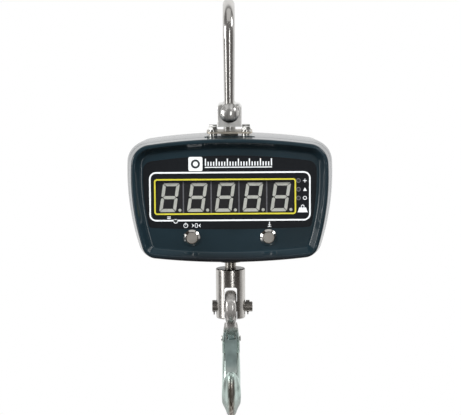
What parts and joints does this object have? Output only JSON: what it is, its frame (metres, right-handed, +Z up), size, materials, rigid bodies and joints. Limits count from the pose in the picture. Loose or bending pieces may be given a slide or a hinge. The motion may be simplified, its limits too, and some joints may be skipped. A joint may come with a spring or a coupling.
{
  "type": "crane scale",
  "caption": "Hanging electronic crane scale: top shackle, glossy housing with numeric display and push buttons, swivel clevis and eye hook with safety latch.",
  "frame": {"origin": "inside of the top shackle's crown, where the lifting hook bears, on the load line", "axes": "+Z up along the load line, front panel faces -Y, +X to the right of a person reading the panel"},
  "size_m": [0.181, 0.074, 0.3715],
  "materials": {
    "stainless_polished": "polished stainless bar with dark and bright streaks",
    "fastener_steel": "bright nickel-plated fastener",
    "stainless_plate": "ground plate",
    "casing_paint": "glossy dark blue-grey paint",
    "seal_rubber": "matte black rubber",
    "panel_print": "graphite polyester film, fine satin texture",
    "window_clear": "clear lightly smoked pane",
    "module_face": "dark grey display face with ivory segments",
    "lamp_lens": "unlit water-clear lamp",
    "circuit_board": "green solder mask",
    "brass_hardware": "bright turned brass",
    "ribbon_grey": "grey flat cable",
    "battery_wrap": "blue shrink wrap",
    "black_plastic": "moulded black plastic",
    "label_foil": "blank satin foil plate",
    "cell_aluminium": "milled aluminium alloy",
    "machined_steel": "turned steel",
    "bearing_steel": "ground and hardened",
    "clevis_polished": "turned and polished",
    "hook_zinc": "forged steel, pale green-grey zinc plating",
    "latch_zinc": "zinc-plated sheet steel",
    "spring_steel": "spring wire",
    "button_chrome": "polished nickel-plated ring",
    "button_brushed": "fine satin face"
  },
  "bodies": {
    "shackle": {"top_shackle": "stainless_polished", "shackle_pin": "stainless_polished", "shackle_nut": "fastener_steel", "shackle_split_pin": "fastener_steel"},
    "housing": {"battery_door": "casing_paint", "battery_door_gasket": "seal_rubber", "battery_door_screws": "fastener_steel", "battery_pack": "battery_wrap", "battery_tray": "black_plastic", "board_screws": "fastener_steel", "board_standoffs": "brass_hardware", "charger_socket": "black_plastic", "charger_socket_nut": "brass_hardware", "cover_gasket": "seal_rubber", "cover_screws": "fastener_steel", "digit_module_1": "module_face", "digit_module_2": "module_face", "digit_module_3": "module_face", "digit_module_4": "module_face", "digit_module_5": "module_face", "display_board": "circuit_board", "display_window": "window_clear", "eye_block": "stainless_polished", "flange_bolts": "fastener_steel", "flange_plate": "stainless_plate", "flange_spacers": "fastener_steel", "flange_washers": "fastener_steel", "front_cover": "casing_paint", "indicator_lamps": "lamp_lens", "load_cell": "cell_aluminium", "main_board": "circuit_board", "neck_locknut": "fastener_steel", "neck_seal": "seal_rubber", "panel_film": "panel_print", "power_button_housing": "button_chrome", "power_button_nut": "button_chrome", "power_button_spring": "spring_steel", "rear_cover": "casing_paint", "rear_label": "label_foil", "ribbon_cable": "ribbon_grey", "stud_seal": "seal_rubber", "swivel_cap": "machined_steel", "swivel_cup": "machined_steel", "tare_button_housing": "button_chrome", "tare_button_nut": "button_chrome", "tare_button_spring": "spring_steel", "thrust_balls": "bearing_steel", "thrust_race_lower": "bearing_steel"},
    "hook_swivel": {"swivel_stud": "fastener_steel", "stud_nut": "fastener_steel", "thrust_race_upper": "bearing_steel", "clevis": "clevis_polished", "clevis_pin": "fastener_steel", "clevis_split_pins": "fastener_steel"},
    "hook": {"hook": "hook_zinc", "latch_rivet": "fastener_steel", "latch_spring": "spring_steel"},
    "latch": {"hook_latch": "latch_zinc"},
    "power_button": {"power_button_cap": "button_brushed"},
    "tare_button": {"tare_button_cap": "button_brushed"}
  },
  "joints": [
    {"name": "shackle_pivot", "type": "hinge", "parent": "shackle", "child": "housing", "pos_m": [0, 0, -0.088], "axis": [0, 1, 0], "range_deg": [-90, 90]},
    {"name": "hook_swivel_turn", "type": "hinge", "parent": "housing", "child": "hook_swivel", "pos_m": [0, 0, -0.2], "axis": [0, 0, 1], "continuous": true},
    {"name": "hook_swing", "type": "hinge", "parent": "hook_swivel", "child": "hook", "pos_m": [0, 0, -0.2625], "axis": [1, 0, 0], "range_deg": [-80, 80]},
    {"name": "latch_hinge", "type": "hinge", "parent": "hook", "child": "latch", "pos_m": [0, -0.0032, -0.2906], "axis": [1, 0, 0], "range_deg": [0, 45], "stiffness_Nm_per_rad": 0.02, "springref_deg": -17.19, "deforming": ["latch_spring"]},
    {"name": "power_button_press", "type": "slide", "parent": "housing", "child": "power_button", "axis": [0, 1, 0], "range_m": [0, 0.0015], "stiffness_N_per_m": 600, "deforming": ["power_button_spring"]},
    {"name": "tare_button_press", "type": "slide", "parent": "housing", "child": "tare_button", "axis": [0, 1, 0], "range_m": [0, 0.0015], "stiffness_N_per_m": 600, "deforming": ["tare_button_spring"]}
  ]
}
